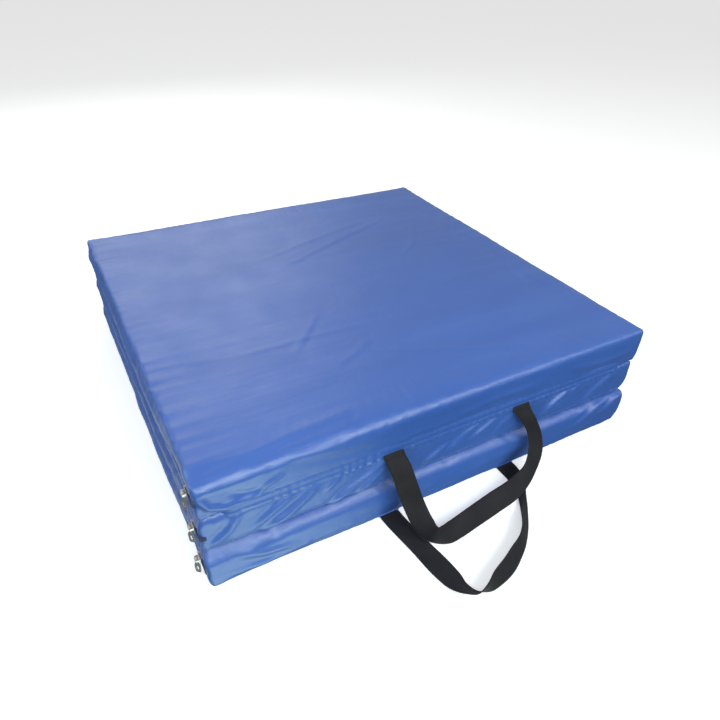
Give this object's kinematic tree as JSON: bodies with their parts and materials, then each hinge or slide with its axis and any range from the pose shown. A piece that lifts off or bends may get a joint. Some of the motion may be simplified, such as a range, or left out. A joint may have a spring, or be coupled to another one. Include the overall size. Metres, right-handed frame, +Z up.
{
  "type": "folding gym mat",
  "caption": "Thick folding exercise mat: foam panels in zipped coated-nylon covers, stacked in a Z fold, with webbing carrying handles on the front.",
  "frame": {"origin": "centre of the underside of the folded stack, midway between the two fold axes", "axes": "+Z up through the stack, +X along the front face that carries the handles, +Y from the front face to the back"},
  "size_m": [0.6076, 0.7382, 0.15],
  "materials": {
    "cover": "satin",
    "foam": "matte",
    "zip_tape": "matte",
    "zip_teeth": "satin",
    "zip_metal": "satin",
    "webbing": "matte"
  },
  "bodies": {
    "bottom_panel": {"bottom_panel_foam_core": "foam", "bottom_panel_cover_wrap": "cover", "bottom_panel_zip_side": "cover", "bottom_panel_plain_side": "cover", "bottom_panel_zip_tape": "zip_tape", "bottom_panel_zip_chain": "zip_teeth", "bottom_panel_zip_stops": "zip_metal", "bottom_panel_zip_end_tab": "zip_tape", "back_fold_lower_web": "cover", "lower_handle_anchors": "webbing"},
    "middle_panel": {"middle_panel_foam_core": "foam", "middle_panel_cover_wrap": "cover", "middle_panel_zip_side": "cover", "middle_panel_plain_side": "cover", "middle_panel_zip_tape": "zip_tape", "middle_panel_zip_chain": "zip_teeth", "middle_panel_zip_stops": "zip_metal", "middle_panel_zip_end_tab": "zip_tape", "back_fold_upper_web": "cover", "front_fold_lower_web": "cover"},
    "top_panel": {"top_panel_foam_core": "foam", "top_panel_cover_wrap": "cover", "top_panel_zip_side": "cover", "top_panel_plain_side": "cover", "top_panel_zip_tape": "zip_tape", "top_panel_zip_chain": "zip_teeth", "top_panel_zip_stops": "zip_metal", "top_panel_zip_end_tab": "zip_tape", "front_fold_upper_web": "cover"},
    "bottom_slider": {"bottom_panel_zip_slider": "zip_metal"},
    "bottom_pull": {"bottom_panel_zip_pull": "zip_metal"},
    "middle_slider": {"middle_panel_zip_slider": "zip_metal"},
    "middle_pull": {"middle_panel_zip_pull": "zip_metal"},
    "top_slider": {"top_panel_zip_slider": "zip_metal"},
    "top_pull": {"top_panel_zip_pull": "zip_metal"},
    "upper_handle": {"upper_handle_webbing": "webbing"},
    "lower_handle": {"lower_handle_webbing": "webbing"}
  },
  "joints": [
    {"name": "lower_fold", "type": "hinge", "parent": "bottom_panel", "child": "middle_panel", "pos_m": [0, 0.3, 0.05], "axis": [-1, 0, 0], "range_deg": [0, 180]},
    {"name": "upper_fold", "type": "hinge", "parent": "middle_panel", "child": "top_panel", "pos_m": [0, -0.3, 0.1], "axis": [1, 0, 0], "range_deg": [0, 180]},
    {"name": "upper_handle_swing", "type": "hinge", "parent": "middle_panel", "child": "upper_handle", "pos_m": [0, -0.3, 0.1], "axis": [1, 0, 0], "range_deg": [-150, 0]},
    {"name": "lower_handle_swing", "type": "hinge", "parent": "bottom_panel", "child": "lower_handle", "pos_m": [0, -0.3, 0.002], "axis": [1, 0, 0], "range_deg": [-75, 0]},
    {"name": "bottom_zip_slide", "type": "slide", "parent": "bottom_panel", "child": "bottom_slider", "axis": [0, 1, 0], "range_m": [0, 0.55]},
    {"name": "bottom_pull_swing", "type": "hinge", "parent": "bottom_slider", "child": "bottom_pull", "pos_m": [-0.30555, -0.2761, 0.0249], "axis": [0, 1, 0], "range_deg": [0, 150]},
    {"name": "middle_zip_slide", "type": "slide", "parent": "middle_panel", "child": "middle_slider", "axis": [0, 1, 0], "range_m": [0, 0.55]},
    {"name": "middle_pull_swing", "type": "hinge", "parent": "middle_slider", "child": "middle_pull", "pos_m": [-0.30555, -0.2761, 0.075], "axis": [0, 1, 0], "range_deg": [0, 150]},
    {"name": "top_zip_slide", "type": "slide", "parent": "top_panel", "child": "top_slider", "axis": [0, 1, 0], "range_m": [0, 0.55]},
    {"name": "top_pull_swing", "type": "hinge", "parent": "top_slider", "child": "top_pull", "pos_m": [-0.30555, -0.2761, 0.1251], "axis": [0, 1, 0], "range_deg": [0, 150]}
  ],
  "couplings": [
    {"joint": "upper_fold", "follows": "lower_fold", "ratio": 1},
    {"joint": "lower_handle_swing", "follows": "upper_handle_swing", "ratio": 0.5}
  ]
}
